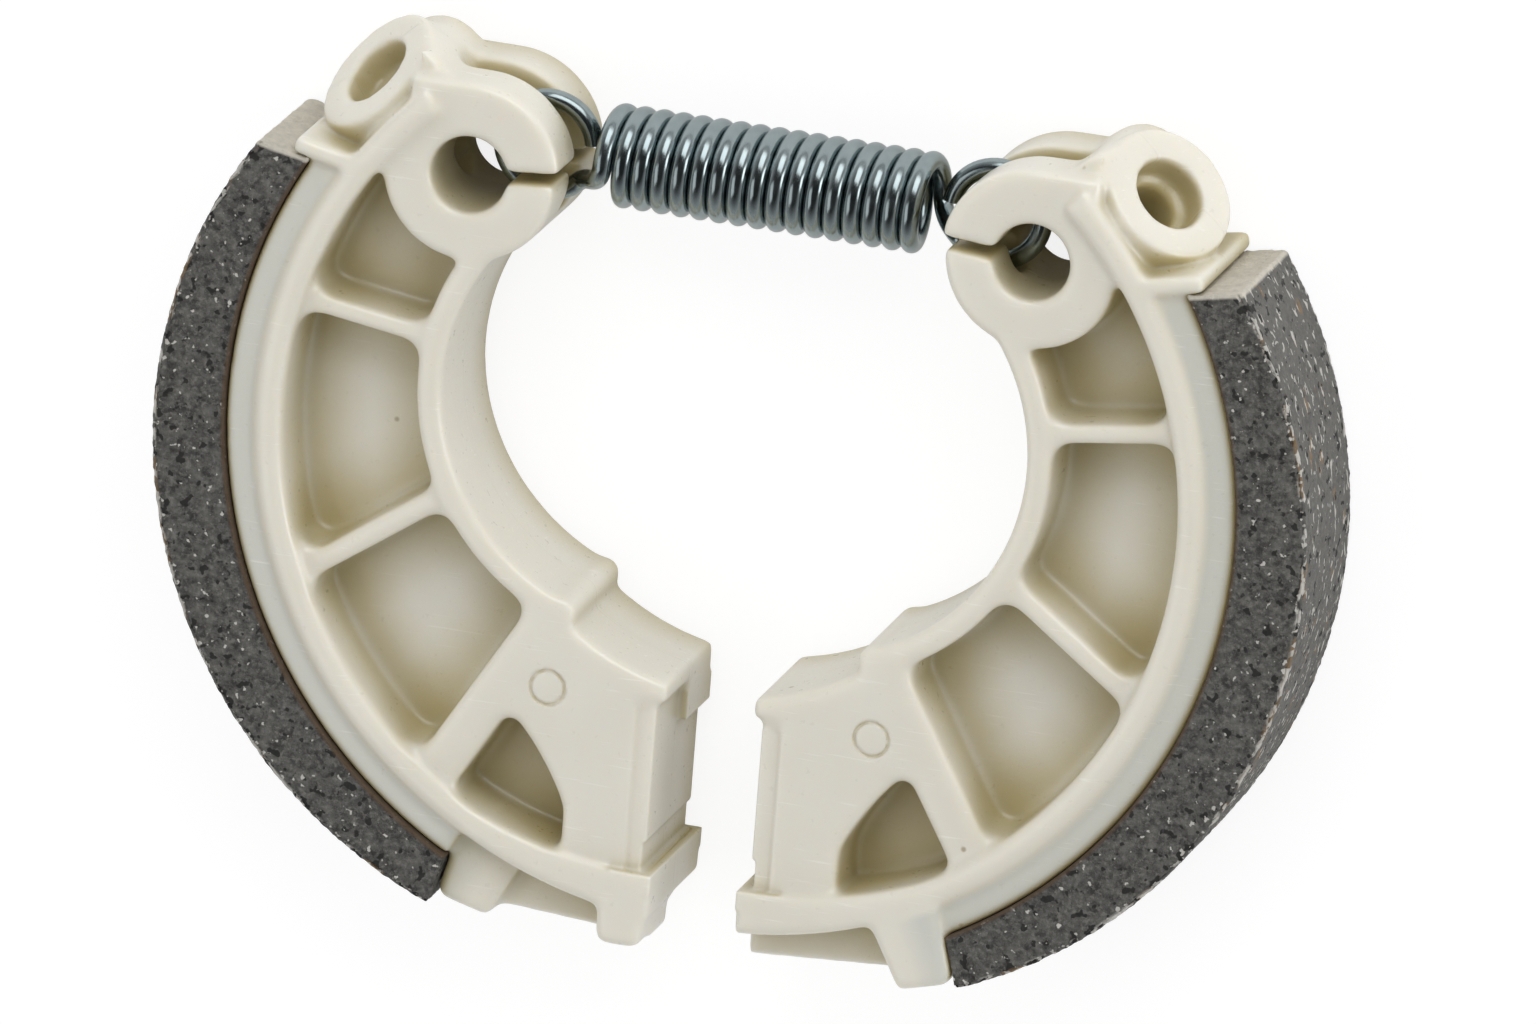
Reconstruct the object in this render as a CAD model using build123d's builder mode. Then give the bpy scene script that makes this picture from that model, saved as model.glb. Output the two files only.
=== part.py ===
from build123d import *

import os
from math import atan2, cos, degrees, radians, sin, sqrt

# Linked pair of drum brake shoes with bonded linings and one return spring.
#
# The drum's axis is +Z and the pair lies flat on its back faces. +X runs from the left shoe to the
# right shoe and +Y from the cam blocks to the spring. Each shoe is drawn on its own plane, whose
# origin is the centre of the platform's arc, with its X axis through the middle of the lining.

# Drum and linings
drum_radius = 55.0
lining_thickness = 8.4
lining_half_angle = 51.4
lining_top_angle = 28.0
lining_foot_angle = 58.0
lining_edge_inset = 0.5

# Shoe body
shoe_width = 20.0
shoe_tilt = 17.0
shoe_shift_x = 1.94
shoe_shift_y = 2.25
platform_radius = 54.3
band_height = 3.4
band_inset = 1.0
band_lap_angle = 2.0
bead_height = 3.1
bead_top_angle = 64.0
bead_round = 0.8
rim_radius = 24.2
rim_thickness = 2.8
rim_center_x = 4.6
rim_center_y = 6.85
rim_inset = 1.0
rim_foot_angle = 52.0
rim_end_round = 1.8
web_thickness = 3.0

# Ribs and pockets
rib_inset = 1.5
upper_rib_thickness = 2.2
upper_rib_angle = 25.3
upper_rib_x = 34.5
upper_rib_y = 21.6
lower_rib_thickness = 2.5
lower_rib_angle = -18.8
lower_rib_x = 38.5
lower_rib_y = -1.55
pocket_round = 2.2

# Spring boss
boss_x = 19.8
boss_y = 35.6
boss_radius = 9.6
boss_inset = 1.0
finger_radius = 10.2
finger_root_length = 7.0
bore_radius = 4.2
mouth_width = 1.1
mouth_angle = 192.0
slot_width = 3.4
post_length = 4.4
post_height = 3.4
post_round = 1.5
hook_drop_x = 6.3
hook_rise_y = 2.2
post_offset_x = 1.0
post_offset_y = 0.8
slot_end_x = 20.5
slot_end_y = 46.8
slot_side_angle = 10.0

# Ear and shelf
ear_radius = 7.75
ear_depth = 8.0
ear_x = 29.9
ear_y = 47.2
ear_z = 12.0
ear_turn = 64.0
ear_lean = 26.0
ear_mouth_radius = 4.0
ear_mouth_depth = 3.6
ear_bore_radius = 2.7
saddle_ear_x = 25.0
saddle_ear_y = 45.6
saddle_ear_radius = 4.8
saddle_boss_radius = 6.0
saddle_bottom = 3.0
saddle_face_reach = 1.2
saddle_top = 17.4
shelf_thickness = 2.0
shelf_setback = 4.0

# Cam block
half_gap = 4.8
block_inset = 1.0
block_top_y = -22.4
block_root_x = 17.5
block_root_y = -16.6
block_sagitta = 0.9
block_corner_x = 21.0
block_corner_y = -16.3
block_edge_angle = -59.4
ledge_height = 2.2
back_ledge_height = 6.5
recess_depth = 1.1
recess_step_y = -40.4
recess_step_depth = 0.4
strip_width = 2.2
strip_depth = 0.35
ejector_x = 18.1
ejector_y = -24.8
ejector_radius = 2.1
ejector_groove = 0.4
ejector_groove_depth = 0.3

# Cheek pocket in the block
cheek_wall = 5.0
cheek_top_y = -28.2
cheek_side_x = 15.5
cheek_side_y = -38.0
cheek_sagitta = -0.6
cheek_round = 1.2

# Foot flange and lugs
flange_height = 5.0
flange_rise = 1.8
heel_lug_drop = 5.3
heel_lug_base = 8.6
heel_lug_tip = 6.2
heel_lug_width = 9.0
left_heel_setback = 2.6
end_lug_drop = 3.4
end_lug_setback = 0.6
end_lug_length = 5.2
end_lug_width = 7.0
end_lug_inset = 2.0
lug_beam_drop = 3.4
lug_beam_rise = 1.2
lug_beam_width = 6.5
lug_beam_inset = 9.0
lug_round = 1.2

# Return spring
wire_diameter = 2.1
coil_diameter = 11.2
coil_turns = 16.5
coil_pitch = 2.14
hook_radius = 5.1
hook_clearance = 0.5
hook_start_angle = -45.0
hook_end_angle = 8.0
leg_pull = 3.0
leg_lead = 1.6

# Dependent sizes of the shoe
half_width = shoe_width / 2
slot_radius = hook_radius + wire_diameter / 2 + hook_clearance
slot_reach = 2 * boss_radius
drum_center_x = platform_radius + lining_thickness - drum_radius
bead_outer_radius = platform_radius - band_height
bead_inner_radius = bead_outer_radius - bead_height
flange_inner_radius = bead_inner_radius - flange_rise
flange_outer_radius = flange_inner_radius + flange_height
rim_outer_radius = rim_radius + rim_thickness
boss = (boss_x, boss_y)
rim_center = (rim_center_x, rim_center_y)

# The drum's axis lies where the middle of the pair's footprint falls on the origin
ear_normal = Vector(1, 0, 0).rotate(Axis.Y, -ear_lean).rotate(Axis.Z, ear_turn - shoe_tilt)
ear_rise = ear_y * cos(radians(shoe_tilt)) - ear_x * sin(radians(shoe_tilt))
top_above_axis = shoe_shift_y + ear_rise + ear_radius * sqrt(1 - ear_normal.Y**2)
foot_below_axis = flange_outer_radius - shoe_shift_y + end_lug_drop
axis_y = (foot_below_axis - top_above_axis) / 2
pair_plane = Plane(origin=(0, axis_y, 0))
shoe_plane = Plane(
    origin=(shoe_shift_x, axis_y + shoe_shift_y, 0),
    x_dir=(cos(radians(shoe_tilt)), -sin(radians(shoe_tilt)), 0),
    z_dir=(0, 0, 1),
)
fuse_depth = 1.0
reach = 2 * platform_radius


def pair_point(x, y):
    """Give a point measured from the drum's axis in the shoe plane's own coordinates."""
    local = shoe_plane.to_local_coords(Vector(x, axis_y + y, 0))
    return local.X, local.Y


def axis_point(x, y, z=0.0):
    """Give a point of the shoe plane as measured from the drum's axis."""
    return pair_plane.to_local_coords(shoe_plane.from_local_coords(Vector(x, y, z)))


def on_line(point, angle, distance):
    """Give the point that lies a distance away from another in a direction."""
    return point[0] + distance * cos(radians(angle)), point[1] + distance * sin(radians(angle))


def platform_point(corner, angle):
    """Follow a line inwards from a corner of the lining to the platform's arc."""
    step_x, step_y = -cos(radians(angle)), -sin(radians(angle))
    along = corner[0] * step_x + corner[1] * step_y
    outside = corner[0] ** 2 + corner[1] ** 2 - platform_radius**2
    travel = -along - sqrt(along**2 - outside)
    return corner[0] + travel * step_x, corner[1] + travel * step_y


def ring_sector(inner, outer, start, end):
    """Add the part of a ring about the platform's centre that lies between two angles."""
    with BuildLine() as outline:
        low = CenterArc((0, 0), inner, start, end - start)
        high = CenterArc((0, 0), outer, start, end - start)
        Line(low @ 0, high @ 0)
        Line(low @ 1, high @ 1)
    make_face(outline.edges())


# Corners of the lining, the shelf and the cam block in the shoe plane
lining_top_corner = on_line((drum_center_x, 0), lining_half_angle, drum_radius)
lining_foot_corner = on_line((drum_center_x, 0), -lining_half_angle, drum_radius)
shelf_root = platform_point(lining_top_corner, lining_top_angle)
foot_root = platform_point(lining_foot_corner, -lining_foot_angle)
band_top_angle = degrees(atan2(shelf_root[1], shelf_root[0]))
band_foot_angle = degrees(atan2(foot_root[1], foot_root[0]))
boss_angle = degrees(atan2(boss_y, boss_x))
boss_in_pair = axis_point(boss_x, boss_y)
hook_x = boss_in_pair.X - hook_drop_x
hook_y = boss_in_pair.Y + hook_rise_y
block_corner = pair_point(block_corner_x, block_corner_y)
block_edge = block_edge_angle + shoe_tilt

with BuildPart() as right_lining:
    with BuildSketch(shoe_plane.offset(lining_edge_inset)):
        with BuildLine():
            rim_arc = CenterArc(
                (drum_center_x, 0), drum_radius, -lining_half_angle, 2 * lining_half_angle
            )
            top_end = PolarLine(rim_arc @ 1, 2 * lining_thickness, 180 + lining_top_angle)
            foot_end = PolarLine(rim_arc @ 0, 2 * lining_thickness, 180 - lining_foot_angle)
            Line(top_end @ 1, foot_end @ 1)
        make_face()
        Circle(platform_radius, mode=Mode.SUBTRACT)
    extrude(amount=shoe_width - 2 * lining_edge_inset)

with BuildPart() as left_lining:
    mirror(right_lining.part, about=Plane.YZ)

# Ear that leans to the front, and the saddle under its face that joins it to the boss
ear_center = shoe_plane.from_local_coords(Vector(ear_x, ear_y, ear_z))
ear_plane = Plane(origin=ear_center, z_dir=ear_normal)
with BuildPart() as ear:
    with BuildSketch(shoe_plane.offset(saddle_bottom)):
        with Locations(boss):
            Circle(saddle_boss_radius)
        with Locations((saddle_ear_x, saddle_ear_y)):
            Circle(saddle_ear_radius)
        make_hull()
    extrude(amount=saddle_top - saddle_bottom)
    with BuildSketch(ear_plane):
        Circle(ear_radius + saddle_face_reach)
    extrude(amount=ear_radius, mode=Mode.SUBTRACT)
    with BuildSketch(ear_plane):
        Circle(ear_radius)
    extrude(amount=-ear_depth)

with BuildPart() as shoe_body:
    # Platform band under the lining
    with BuildSketch(shoe_plane.offset(band_inset)):
        ring_sector(
            bead_outer_radius - fuse_depth,
            platform_radius,
            band_foot_angle,
            band_top_angle + band_lap_angle,
        )
    extrude(amount=shoe_width - 2 * band_inset)

    # Shelf across the lining's upper end face
    with BuildSketch(shoe_plane):
        with BuildLine():
            shelf_tip = on_line(lining_top_corner, 180 + lining_top_angle, shelf_setback)
            shelf_heel = on_line(shelf_root, 180 + lining_top_angle, band_height + fuse_depth)
            shelf_side = lining_top_angle + 90
            Polyline(
                shelf_heel,
                shelf_tip,
                on_line(shelf_tip, shelf_side, shelf_thickness),
                on_line(shelf_heel, shelf_side, shelf_thickness),
                close=True,
            )
        make_face()
    extrude(amount=shoe_width)

    # Inner rim round the hub, with a round end on the cam block
    with BuildSketch(shoe_plane.offset(rim_inset)):
        with Locations(rim_center):
            Circle(rim_outer_radius)
            Circle(rim_radius, mode=Mode.SUBTRACT)
        with BuildLine():
            rim_foot = on_line(rim_center, -rim_foot_angle, reach)
            Polyline(rim_center, rim_foot, (reach, reach), boss, close=True)
        make_face(mode=Mode.INTERSECT)
        with Locations(on_line(rim_center, -rim_foot_angle, rim_radius + rim_thickness / 2)):
            Circle(rim_end_round)
    extrude(amount=shoe_width - 2 * rim_inset)

    # Cam block, drawn square to the pair's centre line
    with BuildSketch(pair_plane.offset(block_inset)):
        with BuildLine():
            root = (block_root_x, block_root_y)
            tip = (half_gap, block_top_y)
            corner = (block_corner_x, block_corner_y)
            edge_end = on_line(corner, block_edge_angle, reach)
            SagittaArc(root, tip, block_sagitta)
            Polyline(tip, (half_gap, -reach), edge_end, corner, root)
        make_face()
        with Locations((shoe_shift_x, shoe_shift_y)):
            Circle(bead_inner_radius + fuse_depth, mode=Mode.INTERSECT)
    extrude(amount=shoe_width - 2 * block_inset)

    # Recess in the block's end face, under a ledge that is deeper in the back half
    for bottom, ledge in ((0, back_ledge_height), (half_width, ledge_height)):
        with BuildSketch(pair_plane.offset(bottom)):
            with Locations((half_gap, block_top_y - ledge)):
                Rectangle(recess_depth, reach, align=(Align.MIN, Align.MAX))
            with Locations((half_gap, recess_step_y)):
                Rectangle(recess_depth + recess_step_depth, reach, align=(Align.MIN, Align.MAX))
        extrude(amount=half_width, mode=Mode.SUBTRACT)

    # Shallow strip beside the recess, ejector mark and cheek pocket, on both faces
    with BuildSketch(pair_plane) as cheek_pocket:
        with BuildLine():
            wall_foot = on_line(corner, block_edge_angle - 90, cheek_wall)
            wall_run = (cheek_top_y - wall_foot[1]) / sin(radians(block_edge_angle))
            cheek_top = on_line(wall_foot, block_edge_angle, wall_run)
            cheek_side = (cheek_side_x, cheek_side_y)
            SagittaArc(cheek_top, cheek_side, cheek_sagitta)
            Polyline(
                cheek_side,
                (cheek_side_x, -reach),
                on_line(cheek_top, block_edge_angle, reach),
                cheek_top,
            )
        make_face()
        with Locations((shoe_shift_x, shoe_shift_y)):
            Circle(bead_inner_radius, mode=Mode.INTERSECT)
        fillet(cheek_pocket.vertices(), cheek_round)
    for side, ledge in ((1, ledge_height), (-1, back_ledge_height)):
        with BuildSketch(pair_plane.offset(half_width + side * web_thickness / 2)):
            add(cheek_pocket.sketch_local)
        extrude(amount=side * half_width, mode=Mode.SUBTRACT)
        face_height = half_width + side * (half_width - block_inset)
        with BuildSketch(pair_plane.offset(face_height - side * strip_depth)):
            with Locations((half_gap, block_top_y - ledge)):
                Rectangle(recess_depth + strip_width, reach, align=(Align.MIN, Align.MAX))
        extrude(amount=side * half_width, mode=Mode.SUBTRACT)
        with BuildSketch(pair_plane.offset(face_height - side * ejector_groove_depth)):
            with Locations((ejector_x, ejector_y)):
                Circle(ejector_radius)
                Circle(ejector_radius - ejector_groove, mode=Mode.SUBTRACT)
        extrude(amount=side * half_width, mode=Mode.SUBTRACT)

    # Web and ribs, at the ribs' height, before the pockets are cut
    with BuildSketch(shoe_plane.offset(rib_inset)):
        Circle(bead_inner_radius + fuse_depth)
        with Locations(rim_center):
            Circle(rim_outer_radius - fuse_depth, mode=Mode.SUBTRACT)
        with BuildLine():
            Polyline(rim_center, block_corner, on_line(block_corner, block_edge, reach), (reach, 0),
                     on_line(boss, boss_angle, reach), boss, close=True)
        make_face(mode=Mode.INTERSECT)
    extrude(amount=shoe_width - 2 * rib_inset)

    # Pockets between the ribs, cut from both faces down to the web
    with BuildSketch(shoe_plane) as pockets:
        Circle(bead_inner_radius)
        with Locations(rim_center):
            Circle(rim_outer_radius, mode=Mode.SUBTRACT)
        with BuildLine():
            Polyline(rim_center, block_corner, on_line(block_corner, block_edge, reach), (reach, 0),
                     on_line(boss, boss_angle, reach), boss, close=True)
        make_face(mode=Mode.INTERSECT)
        with Locations(boss):
            Circle(boss_radius, mode=Mode.SUBTRACT)
        for x, y, angle, thickness in (
            (upper_rib_x, upper_rib_y, upper_rib_angle, upper_rib_thickness),
            (lower_rib_x, lower_rib_y, lower_rib_angle, lower_rib_thickness),
        ):
            with Locations((x, y)):
                Rectangle(reach, thickness, rotation=angle, mode=Mode.SUBTRACT)
        rib_corners = pockets.vertices().filter_by(
            lambda corner: abs(corner.center() - Vector(*boss)) > boss_radius + pocket_round
        )
        fillet(rib_corners, pocket_round)
    for side in (1, -1):
        with BuildSketch(shoe_plane.offset(half_width + side * web_thickness / 2)):
            add(pockets.sketch_local)
        extrude(amount=side * half_width, mode=Mode.SUBTRACT)

    # Bead along the platform and the foot flange
    bead_start = Plane(
        origin=shoe_plane.origin,
        x_dir=Vector(1, 0, 0).rotate(Axis.Z, band_foot_angle - shoe_tilt),
        z_dir=Vector(0, -1, 0).rotate(Axis.Z, band_foot_angle - shoe_tilt),
    )
    with BuildSketch(bead_start):
        with Locations((bead_inner_radius + bead_height / 2, half_width)):
            RectangleRounded(bead_height, shoe_width, bead_round)
    revolve(axis=Axis(shoe_plane.origin, (0, 0, 1)), revolution_arc=bead_top_angle - band_foot_angle)
    foot_angle = band_foot_angle - shoe_tilt
    arc_center = (shoe_shift_x, shoe_shift_y)
    with BuildSketch(pair_plane):
        with BuildLine():
            upper_start = on_line(arc_center, foot_angle, bead_inner_radius)
            upper_end = (half_gap, shoe_shift_y - flange_inner_radius)
            lower_start = on_line(arc_center, foot_angle, bead_outer_radius)
            lower_end = (half_gap, shoe_shift_y - flange_outer_radius)
            RadiusArc(upper_end, upper_start, -bead_inner_radius)
            RadiusArc(lower_end, lower_start, -bead_outer_radius)
            Line(upper_start, lower_start)
            Line(upper_end, lower_end)
        make_face()
    extrude(amount=shoe_width)

    # Boss with its finger and its root on the bead
    with BuildSketch(shoe_plane.offset(boss_inset)):
        with Locations(boss):
            Circle(boss_radius)
            Rectangle(
                2 * finger_radius,
                finger_radius,
                rotation=mouth_angle - 180,
                align=(Align.CENTER, Align.MIN),
            )
            Circle(finger_radius, mode=Mode.INTERSECT)
            Rectangle(
                finger_root_length,
                finger_radius,
                rotation=shoe_tilt,
                align=(Align.MIN, Align.MIN),
            )
    extrude(amount=shoe_width - 2 * boss_inset)

    # Ear on the bead and the shelf, with its hole
    add(ear.part)
    with Locations(ear_plane):
        CounterBoreHole(ear_bore_radius, ear_mouth_radius, ear_mouth_depth, 2 * ear_depth)

    # Slot round the spring's hook, open past the finger, with the post that holds the hook
    hook_center = pair_point(hook_x, hook_y)
    post_center = pair_point(hook_x + post_offset_x, hook_y + post_offset_y)
    slot_side = pair_point(*on_line((hook_x, hook_y), slot_side_angle, slot_radius))
    slot_top = pair_point(hook_x, axis_point(slot_end_x, slot_end_y).Y)
    with BuildSketch(shoe_plane.offset(half_width - slot_width / 2)):
        with Locations(hook_center):
            Circle(slot_radius)
            Rectangle(
                slot_reach,
                2 * slot_radius,
                rotation=shoe_tilt,
                align=(Align.MAX, Align.CENTER),
            )
        with Locations((slot_end_x, slot_end_y)):
            Rectangle(
                slot_reach,
                slot_reach,
                rotation=shoe_tilt,
                align=(Align.MAX, Align.MIN),
            )
        with BuildLine():
            Polyline(hook_center, slot_top, (slot_end_x, slot_end_y), slot_side, close=True)
        make_face()
        with Locations(post_center):
            RectangleRounded(
                post_length, post_height, post_round, rotation=shoe_tilt, mode=Mode.SUBTRACT
            )
    extrude(amount=slot_width, mode=Mode.SUBTRACT)

    # Bore and its mouth towards the spring
    with BuildSketch(shoe_plane) as mouth:
        with Locations(boss):
            Circle(bore_radius)
            Rectangle(
                2 * finger_radius,
                mouth_width,
                rotation=mouth_angle,
                align=(Align.MIN, Align.CENTER),
            )
    extrude(amount=shoe_width, mode=Mode.SUBTRACT)

# Foot lugs: a tall one against the lining, a short one at the end face and a beam behind them
heel_direction = -lining_foot_angle
heel_across = heel_direction - 90
heel_root = on_line(foot_root, heel_direction, -band_height - fuse_depth)
heel_tip = on_line(foot_root, heel_direction, heel_lug_drop)
heel_outer = on_line(heel_tip, heel_across, heel_lug_tip)
with BuildSketch(shoe_plane) as heel_lug:
    with BuildLine():
        Polyline(heel_root, heel_tip, heel_outer, on_line(heel_root, heel_across, heel_lug_base), close=True)
    make_face()
    fillet(heel_lug.vertices().group_by(SortBy.DISTANCE)[-1], lug_round)

flange_low_y = shoe_shift_y - flange_outer_radius
end_lug_x = half_gap + end_lug_setback
with BuildSketch(pair_plane) as end_lug:
    with Locations((end_lug_x, flange_low_y + fuse_depth)):
        Rectangle(end_lug_length, end_lug_drop + fuse_depth, align=(Align.MIN, Align.MAX))
    fillet(end_lug.vertices().group_by(Axis.Y)[0], lug_round)

with BuildSketch(pair_plane) as lug_beam:
    with BuildLine():
        beam_heel = axis_point(*on_line(heel_outer, heel_direction, -lug_beam_rise))
        Polyline(
            (end_lug_x, flange_low_y + fuse_depth),
            (end_lug_x, flange_low_y - lug_beam_drop),
            (beam_heel.X, beam_heel.Y),
            (axis_point(*heel_root).X, axis_point(*heel_root).Y),
            close=True,
        )
    make_face()


def add_lugs(heel_bottom, end_bottom):
    """Add the foot lugs to the part being built, each at its own depth, and the beam."""
    extrude(heel_lug.sketch.moved(Location((0, 0, heel_bottom))), amount=heel_lug_width)
    extrude(end_lug.sketch.moved(Location((0, 0, end_bottom))), amount=end_lug_width)
    extrude(lug_beam.sketch.moved(Location((0, 0, lug_beam_inset))), amount=lug_beam_width)


with BuildPart() as right_shoe:
    add(shoe_body.part)
    add_lugs(shoe_width - heel_lug_width, end_lug_inset)

with BuildPart() as left_shoe:
    add(shoe_body.part)
    add_lugs(shoe_width - heel_lug_width - left_heel_setback, shoe_width - end_lug_width)
    mirror(left_shoe.part, about=Plane.YZ, mode=Mode.REPLACE)

# Return spring: a left-hand coil along X with an open hook in the slot of each boss
coil_radius = (coil_diameter - wire_diameter) / 2
coil_length = coil_turns * coil_pitch
coil_start = (-coil_length / 2, axis_y + hook_y, half_width)
with BuildLine() as coil_line:
    Helix(coil_pitch, coil_length, coil_radius, coil_start, (1, 0, 0), lefthand=True)
with BuildPart() as coil:
    with BuildSketch(Plane(origin=coil_line.line @ 0, z_dir=coil_line.line % 0)):
        Circle(wire_diameter / 2)
    sweep(path=coil_line.line, is_frenet=True)

with BuildLine(pair_plane.offset(half_width)) as ring_line:
    CenterArc(
        (-hook_x, hook_y), hook_radius, hook_start_angle, hook_end_angle - hook_start_angle - 360
    )
with BuildLine() as leg_line:
    leg_start = coil_line.line @ 0
    leg_end = ring_line.line @ 0
    Bezier(
        leg_start,
        leg_start - coil_line.line % 0 * leg_pull,
        leg_end - ring_line.line % 0 * leg_lead,
        leg_end,
    )
with BuildPart() as hook:
    with BuildSketch(Plane(origin=leg_start, z_dir=leg_line.line % 0)):
        Circle(wire_diameter / 2)
    sweep(path=leg_line.line)
    with BuildSketch(Plane(origin=leg_end, z_dir=ring_line.line % 0)):
        Circle(wire_diameter / 2)
    sweep(path=ring_line.line)

with BuildPart() as return_spring:
    add(coil.part)
    add(hook.part)
    add(hook.part.rotate(Axis((0, 0, half_width), (0, 1, 0)), 180))

os.makedirs("parts", exist_ok=True)
for piece, name in (
    (left_shoe.part, "left_shoe"),
    (left_lining.part, "left_lining"),
    (right_shoe.part, "right_shoe"),
    (right_lining.part, "right_lining"),
    (return_spring.part, "return_spring"),
):
    piece.label = name
    export_step(piece, f"parts/{name}.step")
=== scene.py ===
"""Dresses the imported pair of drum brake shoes: mouldings, friction linings, return spring and studio."""

import math

import bpy
from mathutils import Matrix, Vector


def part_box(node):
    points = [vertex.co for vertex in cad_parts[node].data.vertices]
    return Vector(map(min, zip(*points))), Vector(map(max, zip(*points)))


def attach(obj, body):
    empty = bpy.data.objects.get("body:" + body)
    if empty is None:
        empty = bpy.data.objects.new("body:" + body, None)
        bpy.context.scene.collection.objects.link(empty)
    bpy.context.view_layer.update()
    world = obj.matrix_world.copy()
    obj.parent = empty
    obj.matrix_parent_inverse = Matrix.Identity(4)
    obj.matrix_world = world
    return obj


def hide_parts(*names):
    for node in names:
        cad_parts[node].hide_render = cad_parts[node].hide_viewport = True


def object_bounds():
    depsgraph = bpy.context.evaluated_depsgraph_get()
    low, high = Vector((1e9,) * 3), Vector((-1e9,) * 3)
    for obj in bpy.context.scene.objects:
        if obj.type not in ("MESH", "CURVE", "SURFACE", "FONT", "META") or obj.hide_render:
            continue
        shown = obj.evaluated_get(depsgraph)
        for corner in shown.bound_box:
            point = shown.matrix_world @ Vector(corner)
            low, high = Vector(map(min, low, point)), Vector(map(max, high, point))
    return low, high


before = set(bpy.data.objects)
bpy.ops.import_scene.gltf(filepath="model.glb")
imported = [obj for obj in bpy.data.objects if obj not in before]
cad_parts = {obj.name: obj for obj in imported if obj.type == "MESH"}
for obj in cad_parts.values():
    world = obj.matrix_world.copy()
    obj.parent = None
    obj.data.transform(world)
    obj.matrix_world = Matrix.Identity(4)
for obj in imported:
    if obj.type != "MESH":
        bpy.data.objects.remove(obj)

bl_info = {
    "name": "Brake shoe pair",
    "version": (1, 0, 0),
    "blender": (4, 5, 0),
    "location": "View3D > Sidebar > Brake shoes",
    "description": "Moulded brake shoes with bonded linings and a return spring, in a plain studio",
    "category": "Object",
}

MM = 0.001
MM_IN_A_METRE = 1000.0
SIDES = (("left", -1), ("right", 1))

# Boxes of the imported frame: the whole pair, and the right shoe and lining, which the left ones mirror
CAD_LOW, CAD_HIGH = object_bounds()
SHOE_LOW, SHOE_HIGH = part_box("right_shoe")
LINING_LOW, LINING_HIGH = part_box("right_lining")
MID_DEPTH = (CAD_LOW.z + CAD_HIGH.z) / 2

# The right lining: its arc on the drum, its upper end face and the outer corner between the two
DRUM_RADIUS = 55.0 * MM
TOP_ANGLE = math.radians(34.4)
ARC_CENTER = Vector(
    (LINING_HIGH.x - DRUM_RADIUS, LINING_HIGH.y - DRUM_RADIUS * math.sin(TOP_ANGLE), 0.0)
)
END_ANGLE = math.radians(101)
END_NORMAL = Vector((math.cos(END_ANGLE), math.sin(END_ANGLE), 0.0))
END_CORNER = ARC_CENTER + DRUM_RADIUS * Vector((math.cos(TOP_ANGLE), math.sin(TOP_ANGLE), 0.0))
END_LEVEL = END_CORNER.dot(END_NORMAL)

# The right shoe: its platform under the lining and the band outside its bead
PLATFORM_RADIUS = 54.3 * MM
PLATFORM_CENTER = ARC_CENTER + Vector((-7.363, 2.251, 0.0)) * MM
BAND_RADIUS = 50.9 * MM
BAND_MIDDLE = math.radians(-17.0) * DRUM_RADIUS
BAND_HALF_TRAVEL = math.radians(46.0) * DRUM_RADIUS

# The cam block: its two faces with their ejector marks, and the recess in its end, seen from the arc's centre
BLOCK_INSET = 1.0 * MM
EJECTOR_MARK = ARC_CENTER + Vector((8.80, -24.80, 0.0)) * MM
EJECTOR_RADIUS = 1.9 * MM
EJECTOR_GROOVE = 0.2 * MM
EJECTOR_SURROUND = 3.2 * MM
RECESS_SIDE = 0.2 * MM
RECESS_LOW, RECESS_HIGH = -46.0 * MM, -25.6 * MM

# How the pieces are drawn
WELD_DISTANCE = 0.002 * MM
SHOE_TRIANGLES = 185000
LINING_ROUNDING = 3
BONDED_SKIN = 0.4 * MM
EDGE_DEPTH, EDGE_HEIGHT = 0.35 * MM, 0.45 * MM
GRIT_SIZE, CHIP_SIZE = 0.9 * MM, 1.8 * MM

# The studio: each lamp's name, place and size in metres and power in watts, and where the camera aims
FLOOR_GAP = 0.05 * MM
LAMPS = (
    ("key_lamp", (0.2, 0.95, 0.7), (1.1, 0.75), 5.9),
    ("side_lamp", (1.0, 0.1, 0.28), (0.4, 0.6), 2.6),
    ("fill_lamp", (-0.6, -0.2, 0.9), (0.8, 0.6), 1.6),
)
SENSOR_WIDTH = 36.0
AIM_RIGHT, AIM_UP = 2.256 * MM, -0.752 * MM

# Sockets of the mix node, which names them alike for values and for colours
MIX_FACTOR = 0
VALUE_A, VALUE_B, VALUE_RESULT = 2, 3, 0
COLOR_A, COLOR_B, COLOR_RESULT = 6, 7, 2


def linear(code):
    """Turn an sRGB hex code into linear red, green, blue and alpha."""
    values = [int(code[i : i + 2], 16) / 255 for i in (0, 2, 4)]
    channels = [v / 12.92 if v <= 0.04045 else ((v + 0.055) / 1.055) ** 2.4 for v in values]
    return (*channels, 1.0)


def pattern_scale(size_mm):
    """Give the texture scale at which one cell of a pattern is this many millimetres."""
    return MM_IN_A_METRE / size_mm


def add_node(tree, kind, inputs=None, **settings):
    """Add a shader node, set its options and sockets, and link the sockets that are given an output."""
    node = tree.nodes.new(kind)
    for name, value in settings.items():
        setattr(node, name, value)
    for socket, value in (inputs or {}).items():
        if isinstance(value, bpy.types.NodeSocket):
            tree.links.new(value, node.inputs[socket])
        else:
            node.inputs[socket].default_value = value
    return node


def new_material(name):
    """Make an empty node material and give it with its tree."""
    material = bpy.data.materials.new(name)
    material.use_nodes = True
    material.node_tree.nodes.clear()
    return material, material.node_tree


def layered(tree, shade, layers):
    """Lay colours over a base, each as far as its own mask says, and give the result's socket."""
    for mask, color in layers:
        shade = add_node(
            tree, "ShaderNodeMix", {MIX_FACTOR: mask, COLOR_A: shade, COLOR_B: color}, data_type="RGBA"
        ).outputs[COLOR_RESULT]
    return shade


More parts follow.
